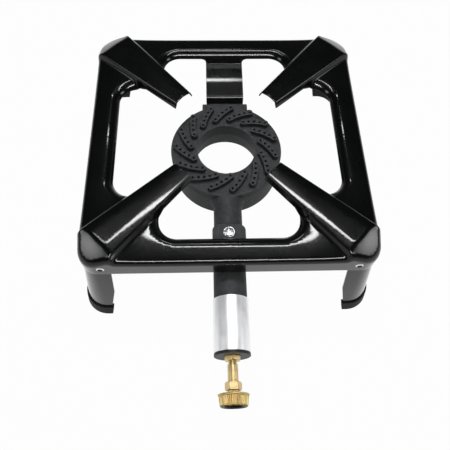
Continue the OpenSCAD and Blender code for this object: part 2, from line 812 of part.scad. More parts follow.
// centre of the circle through three points
function circle_through(a, b, c) =
    let (d = 2 * (a[0] * (b[1] - c[1]) + b[0] * (c[1] - a[1]) + c[0] * (a[1] - b[1])),
         aa = a * a, bb = b * b, cc = c * c)
    [(aa * (b[1] - c[1]) + bb * (c[1] - a[1]) + cc * (a[1] - b[1])) / d,
     (aa * (c[0] - b[0]) + bb * (a[0] - c[0]) + cc * (b[0] - a[0])) / d];

// outline of one curved ridge: an arc through the ends and the middle of its spiral, with
// round ends a trace wider than the arc
module ridge_outline() {
    a = ridge_point(port_r_in);
    b = ridge_point((port_r_in + port_r_out) / 2);
    c = ridge_point(port_r_out);
    o = circle_through(a, b, c);
    r = norm(a - o);
    intersection() {
        translate(o) difference() {
            circle(r + ridge_w / 2);
            circle(r - ridge_w / 2);
        }
        polygon([o, o + (a - o) * 2, o + (c - o) * 2]);
    }
    for (p = [a, c]) translate(p) circle(ridge_w / 2 + free_gap / 2);
}

module burner_head() color("#3a3d3f") place() at_ring() difference() {
    union() {
        rotate_extrude() {
            translate([bore_r, head_bottom]) square([ring_r - bore_r, head_t]);
            translate([bore_r, seam_z + seat_gap]) square([cast_wall - seat_gap, collar_h - seat_gap]);
        }
        translate([-strap_w / 2, bore_r + cast_wall, head_bottom])
            cube([strap_w, lug_rear - ring_back - bore_r - cast_wall, head_t]);
        translate([0, 0, head_top - eps]) linear_extrude(ridge_h + eps)
            for (k = [0:ridge_n - 1]) rotate(first_ridge + k * 360 / ridge_n) ridge_outline();
    }
    for (k = [0:ridge_n - 1], i = [0:port_n - 1])
        rotate([0, 0, first_ridge + k * 360 / ridge_n]) {
            p = ridge_point(port_at(i));
            translate([p[0], p[1], head_bottom - eps])
                cylinder(r = port_r, h = head_t + ridge_h + 2 * eps, $fn = 16);
        }
}

module burner_bolt() color("#d6d6d2") place() translate([0, bolt_y, pad_top + sheet_t]) {
    head_r = bolt_head_d / 2;
    dome_r = (head_r * head_r + bolt_head_h * bolt_head_h) / (2 * bolt_head_h);
    intersection() {
        cylinder(r = head_r, h = bolt_head_h);
        translate([0, 0, bolt_head_h - dome_r]) sphere(dome_r + bolt_rim);
    }
    translate([0, 0, -bolt_reach - sheet_t]) cylinder(r = bolt_d / 2, h = bolt_reach + sheet_t + eps);
}

// ---------------------------------------------------------------- shutter and gas inlet

module air_shutter() color("#d9dadb") place() difference() {
    rod(disc_r, shutter_end + shutter_l, shutter_end);
    rod(shutter_r, shutter_end + shutter_l + eps, shutter_end - eps);
}

module end_disc() color("#101011") place() difference() {
    rod(disc_r, tube_end, disc_end);
    rod(pipe_thread_d / 2 + seat_gap, tube_end + eps, disc_end - eps);
}

module lock_nut() color("#b9a25c") place() difference() {
    intersection() {
        hex_bar(lock_af, disc_end, lock_end, 0);
        chamfered(lock_af, disc_end, lock_end, true);
    }
    rod(pipe_thread_d / 2 + seat_gap, disc_end + eps, lock_end - eps);
}

// cones that break the corners of a hexagon, at its front or at both ends
module chamfered(af, from, to, front_only) {
    r = af / sqrt(3);
    c = (r - af / 2) * chamfer_part;
    s = c * chamfer_slope;
    back = front_only ? 0 : 1;
    lathe([[0, -from], [r - c * back, -from], [r, -from + s * back], [r, -to - s],
           [r - c, -to], [0, -to]]);
}

module gas_pipe() color("#c4a867") place() difference() {
    lathe([[0, -jet_start], [pipe_thread_d / 2, -jet_start], [pipe_thread_d / 2, -thread_end],
           [pipe_d / 2 - pipe_lead_d, -thread_end], [pipe_d / 2, -thread_end + pipe_lead_l],
           [pipe_d / 2, -pipe_end], [pipe_thread_d / 2, -pipe_end],
           [pipe_thread_d / 2, -pipe_end + hex_l / 2], [0, -pipe_end + hex_l / 2]]);
    rod(gas_bore / 2, jet_start + eps, hex_end);
}

module gas_jet() color("#c8a44a") place() {
    difference() {
        union() {
            hex_bar(jet_af, jet_start + jet_hex_l, jet_start);
            lathe([[0, -jet_start - jet_hex_l - jet_nose_l],
                   [jet_tip_r, -jet_start - jet_hex_l - jet_nose_l],
                   [jet_nose_r, -jet_start - jet_hex_l + eps], [0, -jet_start - jet_hex_l + eps]]);
            rod(gas_bore / 2 - seat_gap, jet_start + eps, jet_start - gas_bore);
        }
        rod(orifice, jet_start + 4 * jet_hex_l, jet_start - 2 * gas_bore);
        rod(gas_bore / 4, jet_start + jet_hex_l, jet_start - 2 * gas_bore);
    }
}

module inlet_nipple() color("#b9a25c") place() difference() {
    union() {
        intersection() {
            hex_bar(hex_af, pipe_end, hex_end, hex_turn);
            chamfered(hex_af, pipe_end, hex_end, false);
        }
        lathe([[0, -hex_end - eps], [nipple_neck_d / 2, -hex_end - eps],
               [nipple_neck_d / 2, -collar_start], [collar_r, -collar_start],
               [collar_r, -collar_end], [gas_bore, -collar_end],
               [gas_bore, -collar_end + washer_t], [0, -collar_end + washer_t]]);
    }
    rod(pipe_thread_d / 2 + seat_gap, pipe_end + eps, pipe_end - hex_l / 2 - seat_gap);
    rod(gas_bore / 2, pipe_end, nut_end);
}

module seal_washer() color("#151515") place() difference() {
    rod(inlet_d / 2 - free_gap, collar_end, collar_end - washer_t);
    rod(gas_bore + seat_gap, collar_end + eps, collar_end - washer_t - eps);
}

module union_nut() color("#a88f4e") place() difference() {
    lip_l = 1.4;
    chamfer = 0.8;
    lathe([[0, -nut_start], [nut_lip_d / 2 - chamfer, -nut_start],
           [nut_lip_d / 2, -nut_start + chamfer], [nut_lip_d / 2, -nut_start + lip_l],
           [nut_rear_d / 2, -nut_start + lip_l + chamfer], [nut_front_d / 2, -nut_end - chamfer],
           [nut_front_d / 2 - chamfer, -nut_end], [0, -nut_end]]);
    rod(nipple_neck_d / 2 + slide_gap, nut_start + eps, relief_start - eps);
    rod(relief_r, relief_start, relief_end);
    rod(inlet_d / 2, relief_end + eps, nut_end - eps);
}

top_frame();
leg_front_left();
leg_front_right();
leg_rear_left();
leg_rear_right();
foot_front_left();
foot_front_right();
foot_rear_left();
foot_rear_right();
leg_rivets();
burner_body();
burner_head();
burner_bolt();
air_shutter();
end_disc();
lock_nut();
gas_pipe();
gas_jet();
inlet_nipple();
seal_washer();
union_nut();
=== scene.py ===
import math

import bpy
import numpy as np
from mathutils import Matrix, Vector
from mathutils.geometry import delaunay_2d_cdt


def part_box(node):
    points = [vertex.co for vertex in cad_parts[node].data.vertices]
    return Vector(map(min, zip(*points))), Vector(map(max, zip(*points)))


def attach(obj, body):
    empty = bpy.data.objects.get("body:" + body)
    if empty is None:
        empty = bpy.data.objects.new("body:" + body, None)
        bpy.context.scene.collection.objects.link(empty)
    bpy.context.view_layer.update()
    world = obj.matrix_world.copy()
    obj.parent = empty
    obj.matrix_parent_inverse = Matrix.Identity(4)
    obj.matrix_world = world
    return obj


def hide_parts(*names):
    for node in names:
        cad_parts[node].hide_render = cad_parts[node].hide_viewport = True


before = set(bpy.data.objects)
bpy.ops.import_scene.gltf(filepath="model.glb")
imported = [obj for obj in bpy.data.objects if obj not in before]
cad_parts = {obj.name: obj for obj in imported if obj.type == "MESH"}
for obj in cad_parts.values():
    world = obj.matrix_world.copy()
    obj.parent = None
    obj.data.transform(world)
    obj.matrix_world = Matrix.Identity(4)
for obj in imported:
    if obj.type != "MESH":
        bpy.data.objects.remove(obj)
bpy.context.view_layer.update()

# ---------------------------------------------------------------- camera

IMAGE = 450                                         # pixels across
FOCAL = 509.66                                      # focal length in pixels
SENSOR = 36.0                                       # millimetres
CAMERA_AT = Vector((-0.02153, -0.28462, 0.56509))   # metres
YAW, PITCH, ROLL = 4.07, 62.66, 2.88                # degrees
NEAREST = 0.01


def place_camera():
    """A camera in front of the burner that looks down at it, a little turned."""
    yaw, pitch, roll = (math.radians(a) for a in (YAW, PITCH, ROLL))
    level = math.cos(pitch)
    ahead = Vector((math.sin(yaw) * level, math.cos(yaw) * level, -math.sin(pitch)))
    right = Vector((math.cos(yaw), -math.sin(yaw), 0))
    up = right.cross(ahead)
    across = math.cos(roll) * right + math.sin(roll) * up
    top = math.cos(roll) * up - math.sin(roll) * right
    data = bpy.data.cameras.new("camera")
    data.sensor_width = SENSOR
    data.lens = FOCAL / IMAGE * SENSOR
    data.clip_start = NEAREST
    camera = bpy.data.objects.new("camera", data)
    turn = Matrix((across, top, -ahead)).transposed().to_4x4()
    camera.matrix_world = Matrix.Translation(CAMERA_AT) @ turn
    bpy.context.scene.collection.objects.link(camera)
    bpy.context.scene.camera = camera


# ---------------------------------------------------------------- nodes and colours

def linear(code):
    """An sRGB hex value such as "c9b27a" as a linear colour."""
    parts = (int(code[i:i + 2], 16) / 255 for i in (0, 2, 4))
    return tuple(p / 12.92 if p <= 0.04045 else ((p + 0.055) / 1.055) ** 2.4 for p in parts) + (1,)


def add(tree, kind, inputs=None, stops=(), **settings):
    """Adds one node with its settings, its colour stops (place, hex), and its values or links."""
    made = tree.nodes.new("ShaderNode" + kind)
    for name, value in settings.items():
        setattr(made, name, value)
    for name, value in (inputs or {}).items():
        if isinstance(value, bpy.types.NodeSocket):
            tree.links.new(value, made.inputs[name])
        else:
            made.inputs[name].default_value = value
    if stops:
        band = made.color_ramp.elements
        while len(band) < len(stops):
            band.new(0.5)
        for element, (place, code) in zip(band, stops):
            element.position = place
            element.color = linear(code)
    return made


def finish(name, base, **sockets):
    """A new material with one Principled shader; colours and numbers go on its own sockets."""
    made = bpy.data.materials.new(name)
    made.use_nodes = True
    shader = made.node_tree.nodes["Principled BSDF"]
    shader.inputs["Base Color"].default_value = linear(base)
    for key, value in sockets.items():
        shader.inputs[key.replace("_", " ")].default_value = value
    add(made.node_tree, "TexCoord", name="place")
    return made


def blotches(made, size, detail=2.0, stretch=None):
    """Spots about size millimetres across, fixed to the piece; stretch lengthens them."""
    tree = made.node_tree
    place = tree.nodes["place"].outputs["Object"]
    if stretch:
        scale = tuple(1 / s for s in stretch)
        place = add(tree, "Mapping", {"Vector": place, "Scale": scale}).outputs["Vector"]
    spots = add(tree, "TexNoise", {"Vector": place, "Scale": 1000 / size, "Detail": detail})
    return spots.outputs["Fac"]


def drifting_colour(made, size, detail, *stops):
    """Base colour that drifts between the stops in blotches of a size in millimetres."""
    tree = made.node_tree
    shades = add(tree, "ValToRGB", {"Fac": blotches(made, size, detail)}, stops)
    tree.links.new(shades.outputs["Color"], tree.nodes["Principled BSDF"].inputs["Base Color"])


def drifting_gloss(made, size, low, high):
    """Roughness that drifts from low to high in blotches of a size in millimetres."""
    tree = made.node_tree
    gloss = add(tree, "MapRange", {"Value": blotches(made, size), "From Min": 0.3, "From Max": 0.7,
                                   "To Min": low, "To Max": high})
    tree.links.new(gloss.outputs["Result"], tree.nodes["Principled BSDF"].inputs["Roughness"])


def bumps(made, size, depth, detail=2.0, stretch=None, coat=False):
    """Bumps of a size and depth in millimetres, on top of those already there."""
    tree = made.node_tree
    shader = tree.nodes["Principled BSDF"]
    inputs = {"Height": blotches(made, size, detail, stretch), "Strength": 1.0,
              "Distance": depth / 1000}
    if shader.inputs["Normal"].links:
        inputs["Normal"] = shader.inputs["Normal"].links[0].from_socket
    normal = add(tree, "Bump", inputs).outputs["Normal"]
    tree.links.new(normal, shader.inputs["Normal"])
    if coat:
        tree.links.new(normal, shader.inputs["Coat Normal"])


# ---------------------------------------------------------------- studio

LOOK_AT = Vector((0, 0.03, 0.09))
# Lamps: direction from the burner, distance, width and height in metres, and brightness.
LAMPS = {
    "overhead": ((0.04, 0.28, 0.96), 1.5, 1.5, 0.12, 34),
    "front": ((0.04, -0.55, 0.83), 1.5, 0.9, 0.5, 2),
    "behind": ((0.0, 0.62, 0.82), 1.5, 0.35, 0.06, 30),
    "front_line": ((0.04, -0.60, 0.80), 1.5, 1.7, 0.12, 60),
    "left": ((-0.84, -0.20, 0.51), 1.6, 0.7, 0.7, 5.5),
    "right": ((0.88, -0.17, 0.45), 1.6, 0.7, 0.7, 6),
    "ceiling": ((0.0, 0.1, 1.0), 1.5, 1.2, 1.2, 3.2),
}
# These show only as reflections, so that walls stay darker than tops.
ONLY_REFLECTED = ("behind", "front_line", "left", "right")
# This one only lights, so that it doesn't veil the gloss.
ONLY_LIGHT = ("ceiling",)
MIDDLE_GLOW = 1.6
# Round the floor the studio is white at the horizon and dark above, as black enamel needs.
SKY = ((0.02, "ffffff"), (0.06, "a8a8a8"), (0.25, "4c4c4f"), (0.6, "242427"))
FLOOR_SIDE = 8
FLOOR_GLOW = 1.02
# What the floor keeps of its own shading is the object's shadow.
GLOW_SHARE = 0.96


def softbox(name, towards, distance, width, height, radiance):
    """A flat lamp that faces the burner from the direction towards, of a given brightness."""
    data = bpy.data.lights.new(name, "AREA")
    data.shape = "RECTANGLE"
    data.size, data.size_y = width, height
    data.energy = radiance * math.pi * width * height
    lamp = bpy.data.objects.new(name, data)
    away = Vector(towards).normalized()
    aim = away.to_track_quat("Z", "Y").to_matrix().to_4x4()
    lamp.matrix_world = Matrix.Translation(LOOK_AT + away * distance) @ aim
    lamp.visible_camera = False
    # The cloth glows most in the middle, so its reflection has soft edges.
    data.use_nodes = True
    tree = data.node_tree
    across = add(tree, "SeparateXYZ", {0: add(tree, "NewGeometry").outputs["Parametric"]})
    glow = MIDDLE_GLOW
    for side in ("X", "Y"):
        arch = add(tree, "Math", {0: across.outputs[side], 1: math.pi}, operation="MULTIPLY")
        arch = add(tree, "Math", {0: arch.outputs[0]}, operation="SINE")
        glow = add(tree, "Math", {0: arch.outputs[0], 1: glow}, operation="MULTIPLY").outputs[0]
    tree.links.new(glow, tree.nodes["Emission"].inputs["Strength"])
    bpy.context.scene.collection.objects.link(lamp)
    return lamp


def any_ray(tree, *kinds):
    """One where the light path is of any of these kinds."""
    path = add(tree, "LightPath")
    found = path.outputs[kinds[0]]
    for kind in kinds[1:]:
        both = {0: found, 1: path.outputs[kind]}
        found = add(tree, "Math", both, operation="MAXIMUM").outputs[0]
    return found


def studio():
    """A dark sky with a white horizon, a pale floor and soft lamps."""
    world = bpy.data.worlds.new("studio")
    world.use_nodes = True
    tree = world.node_tree
    up = add(tree, "SeparateXYZ", {"Vector": add(tree, "TexCoord").outputs["Generated"]})
    sky = add(tree, "ValToRGB", {"Fac": up.outputs["Z"]}, SKY).outputs["Color"]
    seen = any_ray(tree, "Is Camera Ray", "Is Transmission Ray")
    shown = add(tree, "Mix", {0: seen, 6: sky, 7: linear("ffffff")}, data_type="RGBA")
    tree.links.new(shown.outputs[2], tree.nodes["Background"].inputs["Color"])
    bpy.context.scene.world = world

    clear()
    bpy.ops.mesh.primitive_plane_add(size=FLOOR_SIDE, location=(0, 0, 0))
    floor = bpy.context.object
    floor.name = "floor"
    made = finish("white_floor", "747474", Roughness=0.9, Specular_IOR_Level=0)
    tree = made.node_tree
    seen = any_ray(tree, "Is Camera Ray", "Is Glossy Ray", "Is Transmission Ray")
    share = add(tree, "Math", {0: seen, 1: GLOW_SHARE}, operation="MULTIPLY").outputs[0]
    glow = add(tree, "Emission", {"Strength": FLOOR_GLOW}).outputs[0]
    plain = tree.nodes["Principled BSDF"].outputs["BSDF"]
    mixed = add(tree, "MixShader", {0: share, 1: plain, 2: glow})
    tree.links.new(mixed.outputs[0], tree.nodes["Material Output"].inputs["Surface"])
    dress(floor, made)

    for name, numbers in LAMPS.items():
        lamp = softbox(name, *numbers)
        lamp.visible_diffuse = name not in ONLY_REFLECTED
        lamp.visible_glossy = name not in ONLY_LIGHT


# ---------------------------------------------------------------- shaping

SAME_PLACE = 2e-6       # metres within which loose corners of a solid are one


def clear():
    """Back to object mode, with nothing selected."""
    if bpy.context.mode != "OBJECT":
        bpy.ops.object.mode_set(mode="OBJECT")
    bpy.ops.object.select_all(action="DESELECT")


def take(piece):
    """Selects this piece alone."""
    clear()
    piece.select_set(True)
    bpy.context.view_layer.objects.active = piece


def dress(piece, *materials):
    piece.data.materials.clear()
    for made in materials:
        piece.data.materials.append(made)


def ride_as(piece, body, slot, *nodes):
    """The piece moves with its body and stands for these nodes of the solids."""
    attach(piece, body)
    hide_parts(*nodes)


def finish_with(piece, kind, **settings):
    """Adds one modifier, sets it and applies it."""
    take(piece)
    made = piece.modifiers.new(kind.lower(), kind)
    for name, value in settings.items():
        setattr(made, name, value)
    bpy.ops.object.modifier_apply(modifier=made.name)


def smooth(piece, angle):
    """Smooth shading below the angle, with the flat faces kept flat."""
    take(piece)
    bpy.ops.object.shade_smooth_by_angle(angle=math.radians(angle))
    finish_with(piece, "WEIGHTED_NORMAL", keep_sharp=True)


def break_edges(piece, width, angle):
    """A small rounded break, in millimetres, on edges sharper than the angle."""
    finish_with(piece, "BEVEL", width=width / 1000, segments=2, limit_method="ANGLE",
                angle_limit=math.radians(angle))


def join_corners(piece):
    """Joins corners that lie in one place."""
    take(piece)
    bpy.ops.object.mode_set(mode="EDIT")
    bpy.ops.mesh.select_all(action="SELECT")
    bpy.ops.mesh.remove_doubles(threshold=SAME_PLACE)
    bpy.ops.object.mode_set(mode="OBJECT")


def joined_copy(name, node):
    """A copy of a CAD node with its loose triangles joined into one skin."""
    piece = bpy.data.objects.new(name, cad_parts[node].data.copy())
    bpy.context.scene.collection.objects.link(piece)
    take(piece)
    bpy.ops.mesh.customdata_custom_splitnormals_clear()
    join_corners(piece)
    return piece


def cast_skin(piece, grid, rounds):
    """Turns sharp solids into one soft casting: an even skin, then its edges eased."""
    take(piece)
    piece.data.remesh_voxel_size = grid / 1000
    piece.data.remesh_voxel_adaptivity = 0
    bpy.ops.object.voxel_remesh()
    finish_with(piece, "SMOOTH", factor=0.5, iterations=rounds)
    bpy.ops.object.shade_smooth()


def close_up(piece):
    """Joins seams, closes the poles of pins and cones, and turns all faces outwards."""
    take(piece)
    bpy.ops.object.mode_set(mode="EDIT")
    bpy.ops.mesh.select_all(action="SELECT")
    bpy.ops.mesh.remove_doubles(threshold=SAME_PLACE / 2)
    bpy.ops.mesh.fill_holes(sides=0)
    bpy.ops.mesh.normals_make_consistent(inside=False)
    bpy.ops.object.mode_set(mode="OBJECT")


def settle(piece):
    """Puts the piece's place into its mesh, with its object at the origin."""
    take(piece)
    bpy.ops.object.transform_apply(location=True, rotation=True, scale=True)


# ---------------------------------------------------------------- finishes

def gloss_enamel():
    # Black enamel, sprayed and baked on pressed steel: glassy, with a little orange peel.
    made = finish("gloss_black_enamel", "070808", Roughness=0.28, Specular_IOR_Level=0.07,
                  Coat_Weight=1.0, Coat_Roughness=0.05, Coat_IOR=1.3)
    bumps(made, 4.0, 0.009, 1.0)
    bumps(made, 1.1, 0.006, 1.0, coat=True)
    drifting_gloss(made, 30, 0.24, 0.32)
    return made


def painted_iron():
    # Grey iron cast in sand, under a thin coat of heat-proof matt black: dull and grainy.
    made = finish("matt_black_cast_iron", "2c2e30", Roughness=0.62, Specular_IOR_Level=0.25)
    drifting_colour(made, 5, 3, (0.3, "282a2c"), (0.7, "37393b"))
    bumps(made, 0.8, 0.12, 3)
    bumps(made, 7, 0.25, 2)
    return made


def turned_aluminium():
    # Aluminium tube, turned bright: fine rings run round the sleeve.
    made = finish("turned_aluminium", "eeeff0", Metallic=1.0, Roughness=0.42,
                  Coat_Weight=0.6, Coat_Roughness=0.12)
    bumps(made, 0.35, 0.012, 2, stretch=(60, 1, 60))
    drifting_gloss(made, 6, 0.36, 0.48)
    return made


def yellow_zinc():
    # Steel with yellow-passivated zinc: gold, drifting to pink and green.
    made = finish("yellow_zinc", "cdb984", Metallic=1.0, Roughness=0.33)
    drifting_colour(made, 6, 3, (0.3, "bda56c"), (0.45, "d2c08c"), (0.55, "cbab80"), (0.7, "b6b884"))
    bumps(made, 0.5, 0.01)
    return made


def bright_zinc():
    # Steel with blue-bright zinc: silvery, slightly cloudy.
    made = finish("bright_zinc", "d8d9db", Metallic=1.0, Roughness=0.4)
    drifting_gloss(made, 1.5, 0.3, 0.5)
    return made


def black_rubber():
    # Moulded rubber: dull black with a fine bloom.
    made = finish("moulded_rubber", "0b0b0c", Roughness=0.6, Specular_IOR_Level=0.15)
    drifting_colour(made, 3, 3, (0.3, "08090a"), (0.7, "101113"))
    bumps(made, 0.5, 0.02)
    return made


def black_plate():
    # Turned steel plate, painted black: smooth, with a dull shine.
    made = finish("black_plate", "0c0d0e", Roughness=0.45, Specular_IOR_Level=0.3)
    bumps(made, 1.0, 0.02)
    return made


def brass():
    # Brass, turned: the jet is bright and smooth.
    made = finish("turned_brass", "c9a54e", Metallic=1.0, Roughness=0.25)
    bumps(made, 0.4, 0.005)
    return made


def dark_pin():
    # The broken steel pin inside a pop rivet, dulled by the enamel; the same dark colour also goes on
    # the ring's faces round its hole as painted shade.
    made = finish("rivet_pin_and_hole_shade", "3c3d3f", Metallic=1.0, Roughness=0.45)
    bumps(made, 0.5, 0.05)
    return made


def knurled_zinc():
    # Die-cast hand nut, yellow-passivated: browner than the pipe, with green and pink films.
    made = finish("passivated_hand_nut", "bfa560", Metallic=1.0, Roughness=0.42)
    drifting_colour(made, 4, 3, (0.3, "96824a"), (0.42, "c0a868"), (0.5, "c49a74"), (0.58, "a4ac70"),
                    (0.7, "bda35e"))
    bumps(made, 0.4, 0.02)
    return made


def painted_mouth_shade():
    # The nut's mouth, thread and end face: dark as painted shade of the hollow, with lighter specks as
    # painted glints off the thread.
    made = finish("painted_thread_shade", "2a2620", Metallic=0.6, Roughness=0.35)
    drifting_colour(made, 1.6, 3, (0.42, "14130f"), (0.55, "2c281c"), (0.68, "7d7048"))
    return made


# ---------------------------------------------------------------- pressed top

# Sizes in millimetres: plan about the middle of the square, heights over the skirt's foot.
HALF, CORNER, SHEET = 150.0, 18.0, 1.5
SKIRT_DROP, LIP = 1.2, 1.0
BAR_TOP, CREST, FLANGE = 25.0, 34.0, 17.5
CROWN_R = 190.0                                 # a bar's top across its width
CREST_R, CREST_DROP, CREST_BACK = 80.0, 45.85, 16.0
SHOULDER = 5.0
WINDOW_EDGE, WINDOW_R, WINDOW_ROUND, EDGE_BACK = 120.0, 18.0, 12.0, 0.876
WINDOW_AT = np.array((102.0, 52.61))
WINDOW_STEEP = 2.47                             # the flange's slope where it leaves the round
RISE, RISE_FROM, RISE_RUN = 2.0, 2.0, 12.0      # a bar swells this much towards the rib
TAPER, WALL, FACET = math.radians(4.926), math.radians(19), math.radians(32)
SWELL, SWELL_AT, SWELL_LONG, SWELL_WIDE = 0.8, 193.0, 12.0, 26.0    # of a corner's facet
RIB_TIP, RIB_HALF, RIB_EDGE = 68.0, 11.0, 32.534
RIB_END, TRIM_AT, TRIM_RUN = 181.13, 110.87, 18.0
RIB_ROUND, RIB_FILLET, FACET_ROUND = 3.2, 6.0, 1.4
RIB_SIDE = np.array((math.cos(math.radians(-45) - TAPER), math.sin(math.radians(-45) - TAPER)))
ARC_END = 130                                   # degrees round the window's corner
CUT_BREAK = 0.3

# Spacing of the corners of the mesh.
FINE, EVEN, WIDE, NEAR = 1.2, 1.5, 2.5, 0.55
GRID = 2.6
RIB_ROWS = (-9, -6, -4, -2.6, -1.7, -1.0, -0.5, 0, 0.6, 1.3, 2, 2.6, 3.2, 3.8, 4.6, 5.6, 7, 8.8)
SHOULDER_ROWS, WINDOW_ROWS = 8, 7


def soft_low(a, b, blend):
    """The lower of two heights, with a round of that blend where they cross."""
    mix = np.clip(0.5 + (b - a) / (2 * blend), 0, 1)
    return b + (a - b) * mix - blend * mix * (1 - mix)


def soft_high(a, b, blend):
    """The higher of two heights, with a fillet of that blend where they cross."""
    return -soft_low(-a, -b, blend)


def drop_of_arc(r, inwards):
    """How far an arc of radius r has fallen at a distance in from where it ends."""
    return r - np.sqrt(r ** 2 - (r - inwards) ** 2)


def from_rib(x, y):
    """Distance outwards from the upper edge of the rib's side wall, and along the rib."""
    u, v = (x + y) / math.sqrt(2), (x - y) / math.sqrt(2)
    edge = RIB_HALF + (u - RIB_TIP) * math.tan(TAPER)
    return (np.abs(v) - edge) * math.cos(TAPER), u


def from_edge(x, y):
    """Distance in from the outer edge, round the corner too."""
    c = HALF - CORNER
    return np.where((x > c) & (y > c), CORNER - np.hypot(x - c, y - c), HALF - np.maximum(x, y))


def from_window(x, y):
    """Distance out from the edge of the window."""
    qx, qy = x - WINDOW_AT[0], y - WINDOW_AT[1]
    turn = np.arctan2(qy, qx)
    beside = -(qx * RIB_SIDE[0] + qy * RIB_SIDE[1]) - WINDOW_R
    rounded = np.hypot(qx, qy) - WINDOW_R
    return np.where(turn < 0, qx - WINDOW_R,
                    np.where(turn < math.radians(135) - TAPER, rounded, beside))


def bar_height(x, y):
    """Crowned bar that rolls down to the window's flange and swells a little towards the rib."""
    inwards = np.clip(HALF - WINDOW_EDGE - from_edge(x, y), 0, None)
    crown = BAR_TOP - CROWN_R + np.sqrt(CROWN_R ** 2 - inwards ** 2)
    w = from_window(x, y)
    fall = drop_of_arc(WINDOW_ROUND, np.clip(w, EDGE_BACK, WINDOW_ROUND))
    flange = WINDOW_STEEP * np.clip(EDGE_BACK - w, 0, None)
    s = from_rib(x, y)[0]
    return crown - fall - flange + RISE * np.exp(-np.clip(s, RISE_FROM, None) / RISE_RUN)


def rib_height(x, y):
    """Rib with a flat land along its middle, rounded down to its drafted side walls."""
    s = from_rib(x, y)[0]
    across = np.clip(s + CREST_BACK, 0, 60)
    crest = np.minimum(CREST, np.sqrt(CREST_R ** 2 - across ** 2) - CREST_DROP)
    return soft_low(crest, RIB_EDGE - s / math.tan(WALL), RIB_ROUND)


def facet_height(x, y):
    """Sloped facet at the corner, swollen a little in its middle."""
    u, v = (x + y) / math.sqrt(2), x - y
    swell = (1 - (np.clip(u - SWELL_AT, -SWELL_LONG, SWELL_LONG) / SWELL_LONG) ** 2
             - (np.clip(v, -SWELL_WIDE, SWELL_WIDE) / SWELL_WIDE) ** 2)
    return CREST - (u - RIB_END) * math.tan(FACET) + SWELL * swell


def pressed_height(x, y):
    """Height of the pressing at a plan point between the middle of a bar and a rib."""
    whole = soft_high(bar_height(x, y), rib_height(x, y), RIB_FILLET)
    whole = soft_low(whole, facet_height(x, y), FACET_ROUND)
    return whole - drop_of_arc(SHOULDER, np.clip(from_edge(x, y), 0, SHOULDER))


def line_points(a, b, step):
    """Points from a to b about a step apart, without b."""
    a, b = np.array(a, float), np.array(b, float)
    count = max(1, round(float(np.linalg.norm(b - a)) / step))
    return [a + (b - a) * i / count for i in range(count)]


def round_points(at, r, start, end, step):
    """Points on an arc between two angles in degrees, without the last."""
    count = max(1, round(abs(math.radians(end - start)) * r / step))
    angles = [math.radians(start + (end - start) * i / count) for i in range(count)]
    return [np.array(at) + r * np.array((math.cos(a), math.sin(a))) for a in angles]


def rib_point(u, v):
    """Plan point at a distance along and across the rib."""
    return np.array(((u + v) / math.sqrt(2), (u - v) / math.sqrt(2)))


def rib_line(s_of, start, end, step):
    """Points beside the rib at distance s_of(u) from its upper edge."""
    return [rib_point(u, RIB_HALF + (u - RIB_TIP) * math.tan(TAPER) + s_of(u) / math.cos(TAPER))
            for u in np.arange(start, end, step)]


def foot_of_wall(u):
    """Distance from the upper edge at which the trimmed side wall ends."""
    low = BAR_TOP - (BAR_TOP - FLANGE) * min(max((u - TRIM_AT) / TRIM_RUN, 0), 1)
    return (RIB_EDGE - low) * math.tan(WALL)


def eighth_outline():
    """Outline of an eighth of the pressing: from the middle of a bar to the line of a rib."""
    inner = WINDOW_EDGE + EDGE_BACK
    corner = HALF - CORNER
    start = math.degrees(math.asin((RIB_HALF + foot_of_wall(0)) / RIB_TIP))
    arc = round_points(WINDOW_AT, WINDOW_R + EDGE_BACK, 0, ARC_END, FINE)
    free = [p for p in arc if from_rib(*p)[0] > foot_of_wall(from_rib(*p)[1])]
    last = from_rib(*free[-1])[1]
    tip = RIB_TIP / math.sqrt(2)
    return (line_points((inner, 0), (HALF, 0), 2 * EVEN)
            + line_points((HALF, 0), (HALF, corner), WIDE)
            + round_points((corner, corner), CORNER, 0, 45, FINE)
            + line_points((corner + CORNER / math.sqrt(2),) * 2, (tip, tip), WIDE)
            + round_points((0, 0), RIB_TIP, 45, 45 - start, EVEN)
            + rib_line(foot_of_wall, RIB_TIP - 0.9, last - 0.8, EVEN)
            + free[::-1]
            + line_points((inner, WINDOW_AT[1]), (inner, 0), WIDE)[1:])


def inside(points, outline):
    """Which points lie inside the outline."""
    x, y = points[:, 0], points[:, 1]
    found = np.zeros(len(points), bool)
    for (x0, y0), (x1, y1) in zip(outline, np.roll(outline, -1, 0)):
        if y0 != y1:
            found ^= ((y0 > y) != (y1 > y)) & (x < (x1 - x0) * (y - y0) / (y1 - y0) + x0)
    return found


def bend_points():
    """Rows of points where the sheet bends, then an even grid."""
    rows = []
    for k in range(SHOULDER_ROWS):
        turned = math.radians(90 - 90 / SHOULDER_ROWS * (k + 1))
        d = SHOULDER * (1 - math.sin(turned))
        step = FINE + d / 3
        rows += line_points((HALF - d, step / 2), (HALF - d, HALF - CORNER), step)
        rows += round_points((HALF - CORNER,) * 2, CORNER - d, 0, 45, step)
    for s in RIB_ROWS:
        rows += rib_line(lambda u: s, RIB_TIP - 1, 206, 1.4 if -3 < s < 5 else 2.2)
    for k in range(WINDOW_ROWS):
        w = WINDOW_ROUND * (1 - math.sin(math.radians(59 - 9 * k)))
        rows += line_points((WINDOW_EDGE + w, 0.7), (WINDOW_EDGE + w, WINDOW_AT[1]), 1.6)
        rows += round_points(WINDOW_AT, WINDOW_R + w, 0, ARC_END, 1.4)
    for k in np.arange(-2.0, 2.1, 0.8):
        rows += [rib_point(RIB_END + k, v) for v in np.arange(0.8, 40, EVEN)]
    return rows + [np.array((x, y)) for x in np.arange(40, HALF, GRID)
                   for y in np.arange(GRID / 2, HALF, GRID)]


